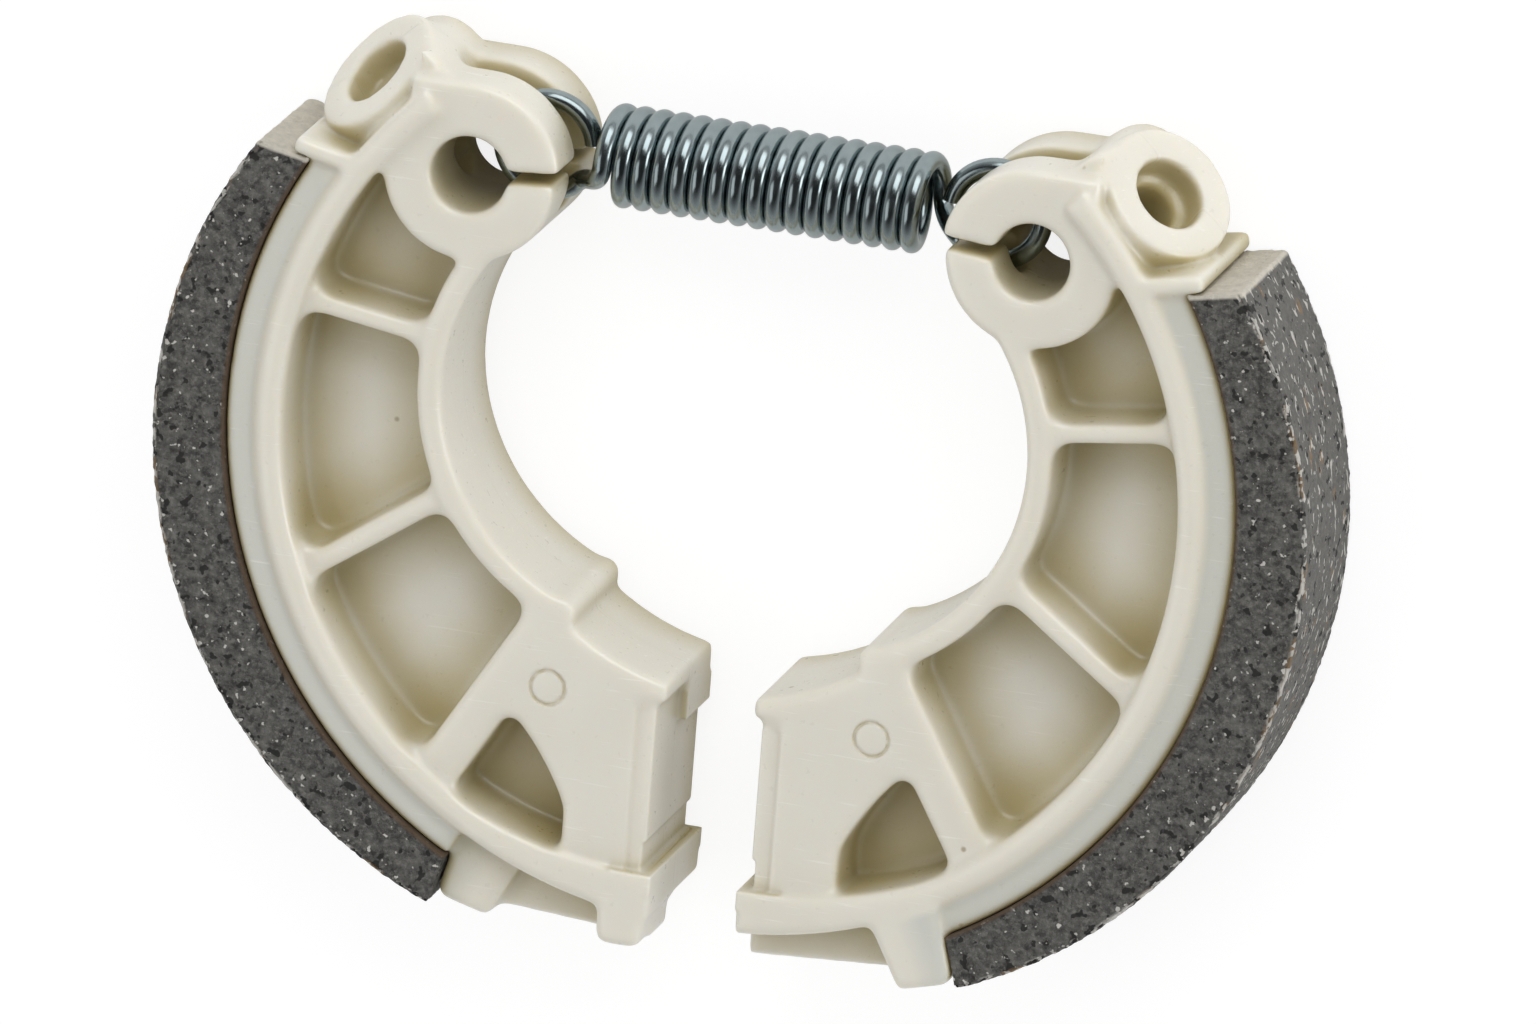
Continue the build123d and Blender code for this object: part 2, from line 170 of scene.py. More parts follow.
def arc_place(tree, place, center):
    """Give a point's distance from an arc's centre, its travel along the arc and its mirrored position."""
    parts = add_node(tree, "ShaderNodeSeparateXYZ", {0: place}).outputs
    across = add_node(tree, "ShaderNodeMath", {0: parts["X"]}, operation="ABSOLUTE").outputs[0]
    x = add_node(tree, "ShaderNodeMath", {0: across, 1: center.x}, operation="SUBTRACT").outputs[0]
    y = add_node(tree, "ShaderNodeMath", {0: parts["Y"], 1: center.y}, operation="SUBTRACT").outputs[0]
    flat = add_node(tree, "ShaderNodeCombineXYZ", {"X": x, "Y": y}).outputs[0]
    radius = add_node(tree, "ShaderNodeVectorMath", {0: flat}, operation="LENGTH").outputs["Value"]
    angle = add_node(tree, "ShaderNodeMath", {0: y, 1: x}, operation="ARCTAN2").outputs[0]
    travel = add_node(tree, "ShaderNodeMath", {0: angle, 1: DRUM_RADIUS}, operation="MULTIPLY").outputs[0]
    folded = add_node(
        tree, "ShaderNodeCombineXYZ", {"X": across, "Y": parts["Y"], "Z": parts["Z"]}
    ).outputs[0]
    return radius, travel, folded


def moulded_nylon(settings):
    """Injection-moulded nylon: satin, slightly translucent, with painted warm shade in the recesses where
    light is trapped.
    """
    material, tree = new_material("moulded_nylon")
    place = add_node(tree, "ShaderNodeTexCoord").outputs["Object"]
    clouds = add_node(
        tree, "ShaderNodeTexNoise", {"Vector": place, "Scale": pattern_scale(16.0), "Detail": 3.0}
    ).outputs["Fac"]

    # Greyer, more translucent skin on the band outside the bead
    radius, travel, _ = arc_place(tree, place, PLATFORM_CENTER)
    outside = add_node(
        tree, "ShaderNodeMapRange",
        {
            "Value": radius, "From Min": BAND_RADIUS - 0.2 * MM, "From Max": BAND_RADIUS + 0.6 * MM,
            "To Max": 0.9,
        },
    ).outputs[0]
    ahead = add_node(tree, "ShaderNodeMath", {0: travel, 1: BAND_MIDDLE}, operation="SUBTRACT").outputs[0]
    from_middle = add_node(tree, "ShaderNodeMath", {0: ahead}, operation="ABSOLUTE").outputs[0]
    inside = add_node(
        tree, "ShaderNodeMapRange",
        {
            "Value": from_middle, "From Min": BAND_HALF_TRAVEL, "From Max": BAND_HALF_TRAVEL + 3.0 * MM,
            "To Min": 1.0, "To Max": 0.0,
        },
    ).outputs[0]
    band = add_node(tree, "ShaderNodeMath", {0: outside, 1: inside}, operation="MULTIPLY").outputs[0]

    # Fine handling scratches, drawn as coarse as they need to show
    turned = add_node(
        tree, "ShaderNodeMapping", {"Vector": place, "Rotation": (0.5, 0.2, 0.9), "Scale": (1.0, 22.0, 7.0)}
    ).outputs[0]
    streaks = add_node(
        tree, "ShaderNodeTexNoise", {"Vector": turned, "Scale": pattern_scale(6.0), "Detail": 3.0}
    ).outputs["Fac"]
    scratches = add_node(
        tree, "ShaderNodeMapRange", {"Value": streaks, "From Min": 0.64, "From Max": 0.74, "To Max": 0.5}
    ).outputs[0]

    # Painted warm shade, darker where the ambient occlusion finds the pockets, the bores and the recesses,
    # and a few specks
    openness = add_node(
        tree, "ShaderNodeAmbientOcclusion", {"Distance": 8.0 * MM}, samples=4
    ).outputs["AO"]
    painted_recess_shade = add_node(
        tree, "ShaderNodeMapRange",
        {"Value": openness, "From Min": 0.45, "From Max": 0.98, "To Min": 1.0, "To Max": 0.0},
    ).outputs[0]
    cells = add_node(
        tree, "ShaderNodeTexVoronoi", {"Vector": place, "Scale": pattern_scale(11.0)}
    ).outputs["Distance"]
    specks = add_node(
        tree, "ShaderNodeMapRange",
        {"Value": cells, "From Min": 0.015, "From Max": 0.035, "To Min": 0.7, "To Max": 0.0},
    ).outputs[0]
    shade = layered(
        tree, settings.color,
        (
            (clouds, settings.shade_color),
            (band, settings.band_color),
            (scratches, settings.scratch_color),
            # Painted shade: the occluded recesses are tinted darker and warmer
            (painted_recess_shade, settings.painted_recess_shade_color),
            (specks, settings.speck_color),
        ),
    )

    # Relief: skin grain, scratches, slow sink of the mould and the parting line at mid depth
    grain = add_node(
        tree, "ShaderNodeTexNoise",
        {"Vector": place, "Scale": pattern_scale(0.9), "Detail": 5.0, "Roughness": 0.65},
    ).outputs["Fac"]
    swell = add_node(
        tree, "ShaderNodeTexNoise", {"Vector": place, "Scale": pattern_scale(5.0), "Detail": 2.0}
    ).outputs["Fac"]
    depth = add_node(tree, "ShaderNodeSeparateXYZ", {0: place}).outputs["Z"]
    above = add_node(tree, "ShaderNodeMath", {0: depth, 1: MID_DEPTH}, operation="SUBTRACT").outputs[0]
    off_middle = add_node(tree, "ShaderNodeMath", {0: above}, operation="ABSOLUTE").outputs[0]
    parting = add_node(
        tree, "ShaderNodeMapRange",
        {"Value": off_middle, "From Min": 0.08 * MM, "From Max": 0.2 * MM, "To Min": 5.0, "To Max": 0.0},
    ).outputs[0]
    relief = grain
    for part, share in ((streaks, 0.5), (swell, 6.0), (parting, 1.0)):
        raised = add_node(tree, "ShaderNodeMath", {0: part, 1: share}, operation="MULTIPLY").outputs[0]
        relief = add_node(tree, "ShaderNodeMath", {0: relief, 1: raised}, operation="ADD").outputs[0]
    bump = add_node(tree, "ShaderNodeBump", {"Height": relief, "Strength": 0.3, "Distance": 0.03 * MM})
    sheen = add_node(
        tree, "ShaderNodeMapRange",
        {"Value": grain, "From Min": 0.3, "From Max": 0.7, "To Min": 0.26, "To Max": 0.38},
    )
    surface = add_node(
        tree, "ShaderNodeBsdfPrincipled",
        {
            "Base Color": shade,
            "Roughness": sheen.outputs[0],
            "IOR": 1.53,
            "Coat Weight": 0.35,
            "Coat Roughness": 0.14,
            "Subsurface Weight": 0.6,
            "Subsurface Radius": (1.0, 0.85, 0.6),
            "Subsurface Scale": 2.4 * MM,
            "Normal": bump.outputs[0],
        },
    )
    add_node(tree, "ShaderNodeOutputMaterial", {"Surface": surface.outputs[0]})
    return material


def friction_compound(settings):
    """Pressed friction compound: matte, dark and gritty, with pale fibres and tan grains in it."""
    material, tree = new_material("friction_compound")
    place = add_node(tree, "ShaderNodeTexCoord").outputs["Object"]
    depth = add_node(tree, "ShaderNodeSeparateXYZ", {0: place}).outputs["Z"]
    radius, travel, folded = arc_place(tree, place, ARC_CENTER)
    crown = add_node(
        tree, "ShaderNodeMapRange",
        {"Value": radius, "From Min": DRUM_RADIUS - 0.75 * MM, "From Max": DRUM_RADIUS - 0.35 * MM},
    ).outputs[0]

    # Mottled ground, with paler dust in it and lighter on the drum side
    mottle = add_node(
        tree, "ShaderNodeTexNoise",
        {"Vector": place, "Scale": pattern_scale(1.5), "Detail": 8.0, "Roughness": 0.75},
    ).outputs["Fac"]
    fine = add_node(
        tree, "ShaderNodeTexNoise",
        {"Vector": place, "Scale": pattern_scale(0.55), "Detail": 4.0, "Roughness": 0.7},
    ).outputs["Fac"]
    lumps = add_node(
        tree, "ShaderNodeMapRange", {"Value": mottle, "From Min": 0.38, "From Max": 0.62}
    ).outputs[0]
    dust = add_node(
        tree, "ShaderNodeMapRange", {"Value": fine, "From Min": 0.5, "From Max": 0.66, "To Max": 0.6}
    ).outputs[0]
    ground_side = add_node(tree, "ShaderNodeMath", {0: crown, 1: 0.45}, operation="MULTIPLY").outputs[0]
    shade = layered(
        tree, settings.dark_color,
        ((lumps, settings.color), (dust, settings.pale_color), (ground_side, settings.crown_color)),
    )

    # Flecks come closer together along the drum side's two borders
    front = add_node(
        tree, "ShaderNodeMapRange",
        {"Value": depth, "From Min": LINING_HIGH.z - 1.1 * MM, "From Max": LINING_HIGH.z - 0.4 * MM},
    ).outputs[0]
    back = add_node(
        tree, "ShaderNodeMapRange",
        {
            "Value": depth, "From Min": LINING_LOW.z + 0.4 * MM, "From Max": LINING_LOW.z + 1.1 * MM,
            "To Min": 1.0, "To Max": 0.0,
        },
    ).outputs[0]
    either = add_node(tree, "ShaderNodeMath", {0: front, 1: back}, operation="MAXIMUM").outputs[0]
    rim = add_node(
        tree, "ShaderNodeMapRange",
        {
            "Value": radius, "From Min": DRUM_RADIUS - 1.2 * MM, "From Max": DRUM_RADIUS - 0.5 * MM,
            "To Max": 0.09,
        },
    ).outputs[0]
    border = add_node(tree, "ShaderNodeMath", {0: either, 1: rim}, operation="MULTIPLY").outputs[0]

    # Dark spots of painted shade for small pits and pale flecks all over, and on the drum side tan grains and
    # pale fibres laid along the arc
    stretched = add_node(tree, "ShaderNodeMath", {0: travel, 1: 0.4}, operation="MULTIPLY").outputs[0]
    unrolled = add_node(
        tree, "ShaderNodeCombineXYZ", {"X": stretched, "Y": radius, "Z": depth}
    ).outputs[0]
    for coordinates, size_mm, low, strength, color in (
        # Painted shade: dark spots stand in for the shade inside small pits
        (folded, 1.2, 0.62, 0.9, settings.painted_pit_shade_color),
        (unrolled, 1.5, 0.66, 0.75, settings.tan_color),
        (place, 0.8, 0.68, 0.9, settings.fleck_color),
        (unrolled, 0.75, 0.62, 0.9, settings.fleck_color),
    ):
        grains = add_node(
            tree, "ShaderNodeTexNoise",
            {"Vector": coordinates, "Scale": pattern_scale(size_mm), "Detail": 2.0, "Roughness": 0.45},
        ).outputs["Fac"]
        crowded = add_node(tree, "ShaderNodeMath", {0: grains, 1: border}, operation="ADD").outputs[0]
        spots = add_node(
            tree, "ShaderNodeMapRange",
            {"Value": crowded, "From Min": low, "From Max": low + 0.035, "To Max": strength},
        ).outputs[0]
        if coordinates is unrolled:
            spots = add_node(tree, "ShaderNodeMath", {0: spots, 1: crown}, operation="MULTIPLY").outputs[0]
        shade = layered(tree, shade, ((spots, color),))

    # Adhesive along the platform and the bare, pale end face under the shelf
    seat, _, _ = arc_place(tree, place, PLATFORM_CENTER)
    glue = add_node(
        tree, "ShaderNodeMapRange",
        {
            "Value": seat, "From Min": PLATFORM_RADIUS + 0.15 * MM, "From Max": PLATFORM_RADIUS + 0.5 * MM,
            "To Min": 0.85, "To Max": 0.0,
        },
    ).outputs[0]
    along = add_node(
        tree, "ShaderNodeVectorMath", {0: folded, 1: END_NORMAL}, operation="DOT_PRODUCT"
    ).outputs["Value"]
    bare = add_node(
        tree, "ShaderNodeMapRange",
        {"Value": along, "From Min": END_LEVEL - 0.75 * MM, "From Max": END_LEVEL - 0.45 * MM},
    ).outputs[0]
    smudge = add_node(
        tree, "ShaderNodeMapRange",
        {"Value": mottle, "From Min": 0.4, "From Max": 0.65, "To Min": 1.0, "To Max": 0.75},
    ).outputs[0]
    end = add_node(tree, "ShaderNodeMath", {0: bare, 1: smudge}, operation="MULTIPLY").outputs[0]
    shade = layered(tree, shade, ((glue, settings.glue_color), (end, settings.end_color)))

    grit = add_node(
        tree, "ShaderNodeTexNoise",
        {"Vector": place, "Scale": pattern_scale(0.7), "Detail": 6.0, "Roughness": 0.75},
    ).outputs["Fac"]
    bump = add_node(tree, "ShaderNodeBump", {"Height": grit, "Strength": 1.0, "Distance": 0.4 * MM})
    dullness = add_node(
        tree, "ShaderNodeMapRange",
        {"Value": fine, "From Min": 0.3, "From Max": 0.7, "To Min": 0.62, "To Max": 0.85},
    )
    surface = add_node(
        tree, "ShaderNodeBsdfPrincipled",
        {
            "Base Color": shade,
            "Roughness": dullness.outputs[0],
            "IOR": 1.5,
            "Normal": bump.outputs[0],
        },
    )
    add_node(tree, "ShaderNodeOutputMaterial", {"Surface": surface.outputs[0]})
    return material


def zinc_plated_wire(settings):
    """Drawn spring wire with bright zinc plating: mirror-like bands, a cool grey tint and fine haze."""
    material, tree = new_material("zinc_plated_wire")
    place = add_node(tree, "ShaderNodeTexCoord").outputs["Object"]
    haze = add_node(
        tree, "ShaderNodeTexNoise", {"Vector": place, "Scale": pattern_scale(1.6), "Detail": 5.0}
    ).outputs["Fac"]
    grain = add_node(
        tree, "ShaderNodeTexNoise", {"Vector": place, "Scale": pattern_scale(0.4), "Detail": 3.0}
    ).outputs["Fac"]
    bump = add_node(tree, "ShaderNodeBump", {"Height": grain, "Strength": 0.08, "Distance": 0.02 * MM})
    polish = add_node(
        tree, "ShaderNodeMapRange",
        {"Value": haze, "From Min": 0.3, "From Max": 0.7, "To Min": 0.16, "To Max": 0.26},
    )
    surface = add_node(
        tree, "ShaderNodeBsdfPrincipled",
        {
            "Base Color": layered(tree, settings.dark_color, ((haze, settings.color),)),
            "Metallic": 1.0,
            "Roughness": polish.outputs[0],
            "Normal": bump.outputs[0],
        },
    )
    add_node(tree, "ShaderNodeOutputMaterial", {"Surface": surface.outputs[0]})
    return material


def pale_floor(settings):
    """White paper sweep, lit to the brim for the camera so that only a faint shadow stays on it."""
    material, tree = new_material("pale_floor")
    paper = add_node(
        tree, "ShaderNodeBsdfPrincipled",
        {"Base Color": settings.floor_color, "Roughness": 0.9, "Specular IOR Level": 0.1},
    )
    glow = add_node(tree, "ShaderNodeEmission", {"Color": settings.floor_color, "Strength": 1.1})
    seen = add_node(tree, "ShaderNodeLightPath").outputs["Is Camera Ray"]
    share = add_node(tree, "ShaderNodeMath", {0: seen, 1: settings.floor_glow}, operation="MULTIPLY")
    surface = add_node(
        tree, "ShaderNodeMixShader", {0: share.outputs[0], 1: paper.outputs[0], 2: glow.outputs[0]}
    )
    add_node(tree, "ShaderNodeOutputMaterial", {"Surface": surface.outputs[0]})
    return material


def studio_sky(settings):
    """Soft even light from all round, white behind the pair and darker overhead in what the metal mirrors."""
    world = bpy.data.worlds.new("studio")
    world.use_nodes = True
    tree = world.node_tree
    tree.nodes.clear()
    way = add_node(tree, "ShaderNodeTexCoord").outputs["Generated"]
    height = add_node(tree, "ShaderNodeSeparateXYZ", {0: way}).outputs["Z"]
    rays = add_node(tree, "ShaderNodeLightPath").outputs
    mirrored = add_node(
        tree, "ShaderNodeMapRange",
        {"Value": height, "From Min": 0.22, "From Max": 0.78, "To Min": 0.5, "To Max": 0.025},
    ).outputs[0]
    lit = add_node(
        tree, "ShaderNodeMix",
        {MIX_FACTOR: rays["Is Glossy Ray"], VALUE_A: settings.sky, VALUE_B: mirrored},
    ).outputs[VALUE_RESULT]
    shown = add_node(
        tree, "ShaderNodeMix", {MIX_FACTOR: rays["Is Camera Ray"], VALUE_A: lit, VALUE_B: 1.0}
    ).outputs[VALUE_RESULT]
    sky = add_node(tree, "ShaderNodeBackground", {"Color": linear("FFFFFF"), "Strength": shown})
    add_node(tree, "ShaderNodeOutputWorld", {"Surface": sky.outputs[0]})
    return world


def select_only(piece):
    """Leave one object selected and active."""
    bpy.ops.object.select_all(action="DESELECT")
    piece.select_set(True)
    bpy.context.view_layer.objects.active = piece


def merged_copy(node, name):
    """Copy a CAD node's mesh to a new object and join its loose triangles."""
    piece = bpy.data.objects.new(name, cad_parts[node].data.copy())
    bpy.context.scene.collection.objects.link(piece)
    piece.data.name = name
    piece.data.materials.clear()
    select_only(piece)
    bpy.ops.mesh.customdata_custom_splitnormals_clear()
    bpy.ops.object.mode_set(mode="EDIT")
    bpy.ops.mesh.select_all(action="SELECT")
    bpy.ops.mesh.remove_doubles(threshold=WELD_DISTANCE)
    bpy.ops.object.mode_set(mode="OBJECT")
    return piece


def apply_modifier(piece, kind, **settings):
    """Add a modifier with its settings and apply it."""
    select_only(piece)
    modifier = piece.modifiers.new(kind.title(), kind)
    for name, value in settings.items():
        setattr(modifier, name, value)
    bpy.ops.object.modifier_apply(modifier=modifier.name)


def mark_vertices(piece, name, test):
    """Gather in a vertex group the vertices whose mirrored position passes a test."""
    group = piece.vertex_groups.new(name=name)
    chosen = [v.index for v in piece.data.vertices if test(Vector((abs(v.co.x), v.co.y, v.co.z)))]
    group.add(chosen, 1.0, "REPLACE")


def roughen(piece, name, size, strength, group):
    """Press a cloudy relief into the vertices of a group, inwards only."""
    relief = bpy.data.textures.new(name, "CLOUDS")
    relief.noise_scale = size
    relief.noise_depth = 3
    apply_modifier(
        piece, "DISPLACE", texture=relief, texture_coords="LOCAL", strength=strength, mid_level=1.0,
        vertex_group=group,
    )


def hand_over(piece, material, node, body):
    """Give a finished piece its material, hide the CAD node that it stands for and attach the piece to its
    body.
    """
    piece.data.materials.clear()
    piece.data.materials.append(material)
    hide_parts(node)
    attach(piece, body)


class ShoeSettings(bpy.types.PropertyGroup):
    """Sizes and colours of the moulded bodies."""

    voxel: bpy.props.FloatProperty(
        name="Surface step", description="Size of the grid on which the moulded surface is drawn",
        default=0.23 * MM, min=0.2 * MM, unit="LENGTH",
    )
    rounding: bpy.props.IntProperty(
        name="Edge rounding", description="Smoothing passes that round the moulded edges",
        default=80, min=0,
    )
    crisp_rounding: bpy.props.IntProperty(
        name="Fine rounding", description="Smoothing passes on the fine marks of the mould",
        default=2, min=0,
    )
    color: bpy.props.FloatVectorProperty(
        name="Nylon", description="Colour of the moulded nylon", size=4, subtype="COLOR",
        default=linear("E5E2D8"),
    )
    shade_color: bpy.props.FloatVectorProperty(
        name="Nylon, cloudy", description="Colour of its cloudier areas", size=4, subtype="COLOR",
        default=linear("DDD9CC"),
    )
    band_color: bpy.props.FloatVectorProperty(
        name="Nylon, band", description="Colour of the thin band outside the bead", size=4,
        subtype="COLOR", default=linear("CFD0C9"),
    )
    # Painted shade: mixed in where occlusion finds a recess, standing in for the shade there
    painted_recess_shade_color: bpy.props.FloatVectorProperty(
        name="Nylon, recesses", description="Colour deep in the pockets", size=4, subtype="COLOR",
        default=linear("BAAD80"),
    )
    scratch_color: bpy.props.FloatVectorProperty(
        name="Scratches", description="Colour of the fine scratches", size=4, subtype="COLOR",
        default=linear("F2F0EA"),
    )
    speck_color: bpy.props.FloatVectorProperty(
        name="Specks", description="Colour of the few specks in the nylon", size=4, subtype="COLOR",
        default=linear("9A8A66"),
    )


class LiningSettings(bpy.types.PropertyGroup):
    """Sizes and colours of the friction linings."""

    voxel: bpy.props.FloatProperty(
        name="Surface step", description="Size of the grid on which the gritty surface is drawn",
        default=0.27 * MM, min=0.2 * MM, unit="LENGTH",
    )
    grit: bpy.props.FloatProperty(
        name="Grit depth", description="Depth of the gritty relief", default=0.3 * MM, min=0.0,
        unit="LENGTH",
    )
    chips: bpy.props.FloatProperty(
        name="Chip depth", description="Depth of the chips along the edges", default=0.9 * MM, min=0.0,
        unit="LENGTH",
    )
    color: bpy.props.FloatVectorProperty(
        name="Compound", description="Colour of the friction compound", size=4, subtype="COLOR",
        default=linear("6A6965"),
    )
    dark_color: bpy.props.FloatVectorProperty(
        name="Compound, dark", description="Colour of its darker grains", size=4, subtype="COLOR",
        default=linear("333230"),
    )
    pale_color: bpy.props.FloatVectorProperty(
        name="Compound, pale", description="Colour of its paler dust", size=4, subtype="COLOR",
        default=linear("8A8883"),
    )
    crown_color: bpy.props.FloatVectorProperty(
        name="Drum side", description="Colour of the ground face against the drum", size=4,
        subtype="COLOR", default=linear("7A7975"),
    )
    fleck_color: bpy.props.FloatVectorProperty(
        name="Pale flecks", description="Colour of the pale fibres", size=4, subtype="COLOR",
        default=linear("D2CFC8"),
    )
    tan_color: bpy.props.FloatVectorProperty(
        name="Tan flecks", description="Colour of the tan grains", size=4, subtype="COLOR",
        default=linear("8F7654"),
    )
    # Painted shade: dark spots standing in for the shade inside small pits
    painted_pit_shade_color: bpy.props.FloatVectorProperty(
        name="Pits", description="Colour of the dark pits", size=4, subtype="COLOR",
        default=linear("1D1C1B"),
    )
    glue_color: bpy.props.FloatVectorProperty(
        name="Adhesive", description="Colour of the adhesive line", size=4, subtype="COLOR",
        default=linear("5B4733"),
    )
    end_color: bpy.props.FloatVectorProperty(
        name="End face", description="Colour of the bare upper end face", size=4, subtype="COLOR",
        default=linear("DAD4C6"),
    )


class SpringSettings(bpy.types.PropertyGroup):
    """Colours of the return spring."""

    color: bpy.props.FloatVectorProperty(
        name="Zinc", description="Colour of the zinc plating", size=4, subtype="COLOR",
        default=linear("A6B1B3"),
    )
    dark_color: bpy.props.FloatVectorProperty(
        name="Zinc, dull", description="Colour of the duller plating", size=4, subtype="COLOR",
        default=linear("879497"),
    )


class StageSettings(bpy.types.PropertyGroup):
    """The floor, the light and the camera."""

    floor_color: bpy.props.FloatVectorProperty(
        name="Floor", description="Colour of the floor", size=4, subtype="COLOR",
        default=linear("FCFCFC"),
    )
    floor_glow: bpy.props.FloatProperty(
        name="Floor glow", description="Share of the floor that the camera sees as lit through",
        default=0.8, min=0.0, max=1.0, subtype="FACTOR",
    )
    floor_size: bpy.props.FloatProperty(
        name="Floor size", description="Side of the square floor", default=12.0, unit="LENGTH",
    )
    sky: bpy.props.FloatProperty(
        name="Sky", description="Strength of the soft light from all round", default=0.56, min=0.0,
    )
    camera_yaw: bpy.props.FloatProperty(
        name="Camera yaw", description="Turn of the camera towards the right shoe", subtype="ANGLE",
        default=math.radians(14.854),
    )
    camera_pitch: bpy.props.FloatProperty(
        name="Camera pitch", description="Lean of the camera towards the spring", subtype="ANGLE",
        default=math.radians(17.158),
    )
    camera_roll: bpy.props.FloatProperty(
        name="Camera roll", description="Turn of the camera about its own view", subtype="ANGLE",
        default=math.radians(-4.54),
    )
    camera_distance: bpy.props.FloatProperty(
        name="Camera distance", description="Distance of the camera from the pair", default=2.998,
        unit="LENGTH",
    )
    lens: bpy.props.FloatProperty(
        name="Lens", description="Focal length of the camera", default=656.07, unit="CAMERA",
    )


class BRAKE_OT_shoe_mouldings(bpy.types.Operator):
    """Round the moulded edges of both shoe bodies and finish them in nylon."""

    bl_idname = "brake.shoe_mouldings"
    bl_label = "Shoe mouldings"

    def is_plain(self, point):
        """Tell the open surfaces from the ejector mark and the end recess, whose fine steps stay crisp."""
        flat = Vector((point.x, point.y, 0.0)) - ARC_CENTER
        beside_recess = flat.x < RECESS_SIDE and RECESS_LOW < flat.y < RECESS_HIGH
        return not beside_recess and (flat + ARC_CENTER - EJECTOR_MARK).length > EJECTOR_SURROUND

    def cut_ring(self, piece, place):
        """Cut the ejector mark's round groove into a face of the block."""
        bpy.ops.object.select_all(action="DESELECT")
        bpy.ops.mesh.primitive_torus_add(
            location=place, major_radius=EJECTOR_RADIUS, minor_radius=EJECTOR_GROOVE,
            major_segments=96, minor_segments=12,
        )
        cutter = bpy.context.object
        apply_modifier(piece, "BOOLEAN", operation="DIFFERENCE", object=cutter, solver="MANIFOLD")
        bpy.data.objects.remove(cutter)

    def execute(self, context):
        settings = context.scene.brake_shoe
        nylon = moulded_nylon(settings)
        for side, sign in SIDES:
            piece = merged_copy(f"{side}_shoe", f"{side}_shoe_moulding")
            apply_modifier(piece, "REMESH", mode="VOXEL", voxel_size=settings.voxel, use_smooth_shade=True)
            mark_vertices(piece, "plain", self.is_plain)
            apply_modifier(
                piece, "SMOOTH", factor=0.5, iterations=settings.rounding, vertex_group="plain"
            )
            apply_modifier(piece, "SMOOTH", factor=0.5, iterations=settings.crisp_rounding)
            for level in (SHOE_LOW.z + BLOCK_INSET, SHOE_HIGH.z - BLOCK_INSET):
                self.cut_ring(piece, Vector((sign * EJECTOR_MARK.x, EJECTOR_MARK.y, level)))
            triangles = 2 * len(piece.data.polygons)
            apply_modifier(piece, "DECIMATE", ratio=min(1.0, SHOE_TRIANGLES / triangles))
            select_only(piece)
            bpy.ops.object.shade_smooth()
            hand_over(piece, nylon, f"{side}_shoe", side)
        return {"FINISHED"}


class BRAKE_OT_friction_linings(bpy.types.Operator):
    """Roughen both linings, chip their edges and finish them in friction compound."""

    bl_idname = "brake.friction_linings"
    bl_label = "Friction linings"

    def is_open(self, point):
        """Tell the open surfaces from the bonded face on the platform."""
        flat = Vector((point.x, point.y, 0.0))
        return (flat - PLATFORM_CENTER).length > PLATFORM_RADIUS + BONDED_SKIN

    def is_edge(self, point):
        """Tell the drum side's two edges."""
        flat = Vector((point.x, point.y, 0.0))
        near_face = min(point.z - LINING_LOW.z, LINING_HIGH.z - point.z) < EDGE_DEPTH
        return near_face and (flat - ARC_CENTER).length > DRUM_RADIUS - EDGE_HEIGHT

    def execute(self, context):
        settings = context.scene.brake_lining
        compound = friction_compound(settings)
        for side, _ in SIDES:
            piece = merged_copy(f"{side}_lining", f"{side}_friction_lining")
            apply_modifier(piece, "REMESH", mode="VOXEL", voxel_size=settings.voxel, use_smooth_shade=True)
            apply_modifier(piece, "SMOOTH", factor=0.5, iterations=LINING_ROUNDING)
            mark_vertices(piece, "open", self.is_open)
            mark_vertices(piece, "edge", self.is_edge)
            roughen(piece, f"{side}_grit", GRIT_SIZE, settings.grit, "open")
            roughen(piece, f"{side}_chips", CHIP_SIZE, settings.chips, "edge")
            hand_over(piece, compound, f"{side}_lining", side)
        return {"FINISHED"}


class BRAKE_OT_return_spring(bpy.types.Operator):
    """Finish the return spring in zinc-plated wire."""

    bl_idname = "brake.return_spring"
    bl_label = "Return spring"

    def execute(self, context):
        piece = merged_copy("return_spring", "return_spring_wire")
        select_only(piece)
        bpy.ops.object.shade_smooth_by_angle(angle=math.radians(50))
        zinc = zinc_plated_wire(context.scene.brake_spring)
        hand_over(piece, zinc, "return_spring", "spring")
        return {"FINISHED"}


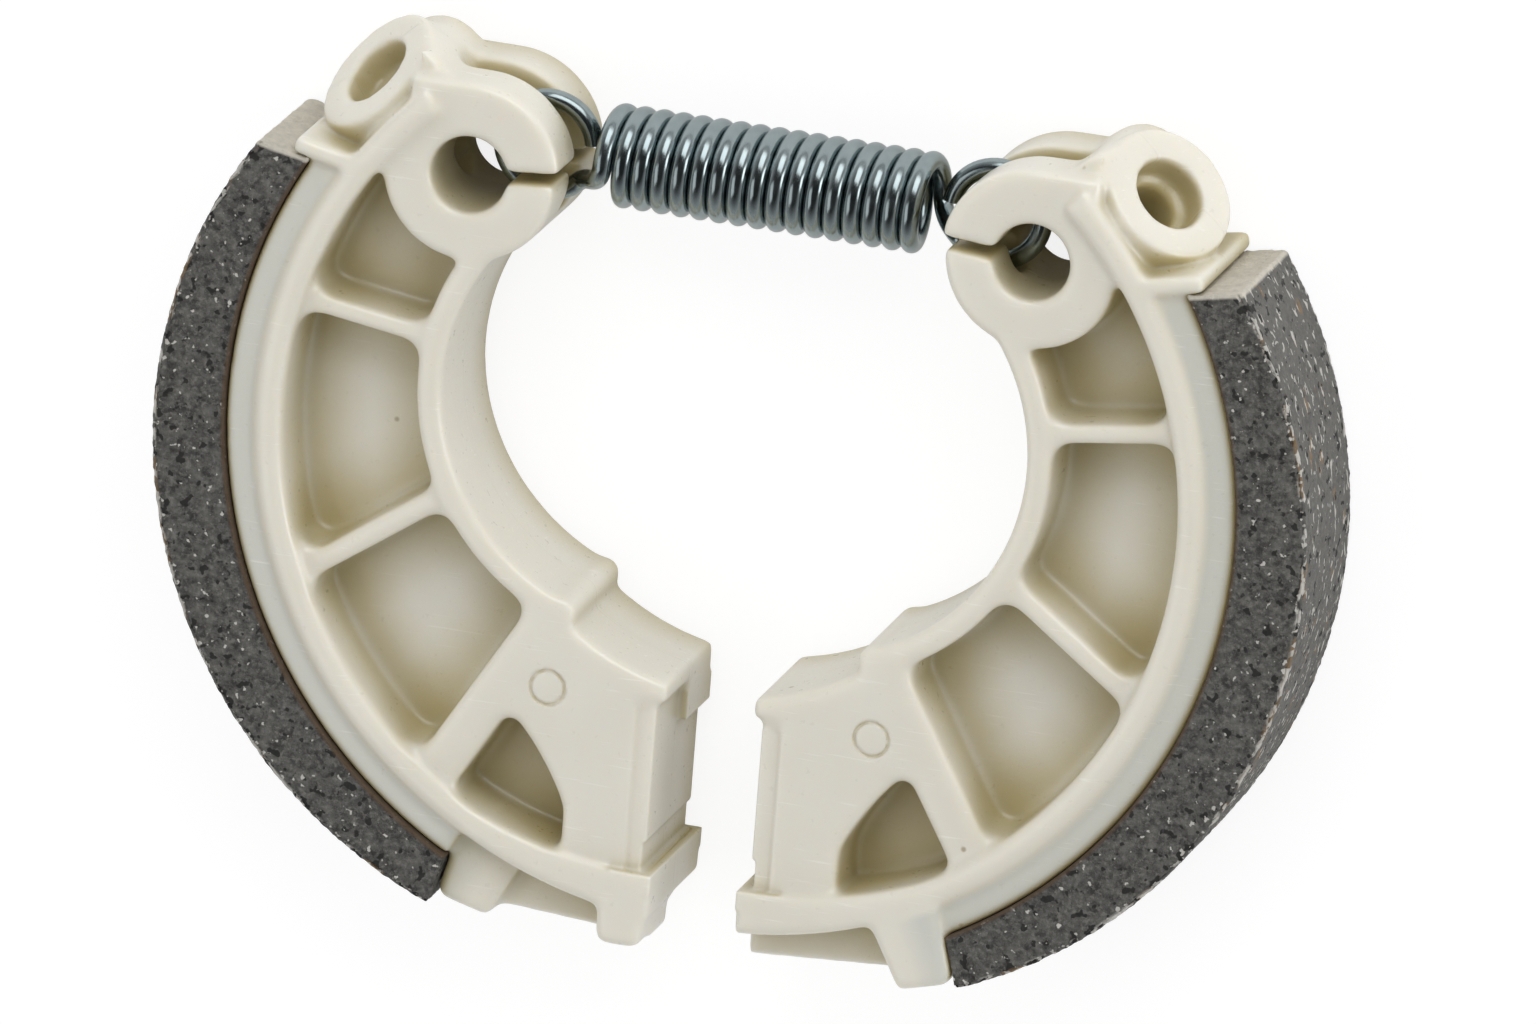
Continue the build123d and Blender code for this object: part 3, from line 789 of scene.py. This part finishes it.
class BRAKE_OT_studio_stage(bpy.types.Operator):
    """Lay the floor, hang the lamps and set the camera."""

    bl_idname = "brake.studio_stage"
    bl_label = "Studio stage"

    def lay_floor(self, settings):
        """Lay the floor just under the pair."""
        bpy.ops.object.select_all(action="DESELECT")
        bpy.ops.mesh.primitive_plane_add(size=settings.floor_size, location=(0, 0, CAD_LOW.z - FLOOR_GAP))
        floor = bpy.context.object
        floor.name = "floor"
        floor.data.materials.append(pale_floor(settings))

    def hang_lamps(self):
        """Hang the area lamps round the pair, each turned to its middle."""
        for name, place, size, power in LAMPS:
            bpy.ops.object.light_add(type="AREA", location=place)
            lamp = bpy.context.object
            lamp.name = name
            lamp.data.shape = "RECTANGLE"
            lamp.data.size, lamp.data.size_y = size
            lamp.data.energy = power
            beam = Vector((0, 0, MID_DEPTH)) - Vector(place)
            lamp.rotation_euler = beam.to_track_quat("-Z", "Y").to_euler()

    def set_camera(self, scene, settings):
        """Set the camera where the photograph's stood."""
        yaw, pitch, roll = settings.camera_yaw, settings.camera_pitch, settings.camera_roll
        back = Vector((math.sin(yaw) * math.cos(pitch), math.sin(pitch), math.cos(yaw) * math.cos(pitch)))
        level_right = Vector((math.cos(yaw), 0, -math.sin(yaw)))
        level_up = back.cross(level_right)
        right = math.cos(roll) * level_right - math.sin(roll) * level_up
        up = math.sin(roll) * level_right + math.cos(roll) * level_up
        aim = Vector((0, 0, MID_DEPTH)) + AIM_RIGHT * right + AIM_UP * up
        place = aim + settings.camera_distance * back
        bpy.ops.object.camera_add()
        camera = bpy.context.object
        camera.data.sensor_width = SENSOR_WIDTH
        camera.data.lens = settings.lens
        camera.data.clip_start = 0.05
        camera.data.clip_end = 50.0
        camera.matrix_world = Matrix(
            (
                (right.x, up.x, back.x, place.x),
                (right.y, up.y, back.y, place.y),
                (right.z, up.z, back.z, place.z),
                (0, 0, 0, 1),
            )
        )
        scene.camera = camera

    def execute(self, context):
        scene = context.scene
        settings = scene.brake_stage
        self.lay_floor(settings)
        scene.world = studio_sky(settings)
        self.hang_lamps()
        self.set_camera(scene, settings)
        scene.view_settings.view_transform = "Standard"
        return {"FINISHED"}


class BRAKE_PT_panel(bpy.types.Panel):
    """Sizes and colours of the brake shoes, with a button for each group of pieces."""

    bl_idname = "BRAKE_PT_panel"
    bl_label = "Brake shoes"
    bl_space_type = "VIEW_3D"
    bl_region_type = "UI"
    bl_category = "Brake shoes"

    def draw(self, context):
        for settings_name, _, operator in GROUPS:
            box = self.layout.box()
            settings = getattr(context.scene, settings_name)
            for name in settings.bl_rna.properties.keys():
                if name not in ("rna_type", "name"):
                    box.prop(settings, name)
            box.operator(operator.bl_idname)


# Each group's name on the scene, its settings and its operator
GROUPS = (
    ("brake_stage", StageSettings, BRAKE_OT_studio_stage),
    ("brake_shoe", ShoeSettings, BRAKE_OT_shoe_mouldings),
    ("brake_lining", LiningSettings, BRAKE_OT_friction_linings),
    ("brake_spring", SpringSettings, BRAKE_OT_return_spring),
)


def register():
    """Register the classes and hang each group's settings on the scene."""
    for settings_name, settings, operator in GROUPS:
        bpy.utils.register_class(settings)
        bpy.utils.register_class(operator)
        setattr(bpy.types.Scene, settings_name, bpy.props.PointerProperty(type=settings))
    bpy.utils.register_class(BRAKE_PT_panel)


def unregister():
    """Take the classes and the settings away again."""
    bpy.utils.unregister_class(BRAKE_PT_panel)
    for settings_name, settings, operator in reversed(GROUPS):
        delattr(bpy.types.Scene, settings_name)
        bpy.utils.unregister_class(operator)
        bpy.utils.unregister_class(settings)


def main():
    """Register the groups and build each of them in order."""
    register()
    bpy.ops.brake.studio_stage()
    bpy.ops.brake.shoe_mouldings()
    bpy.ops.brake.friction_linings()
    bpy.ops.brake.return_spring()


if __name__ == "__main__":
    main()
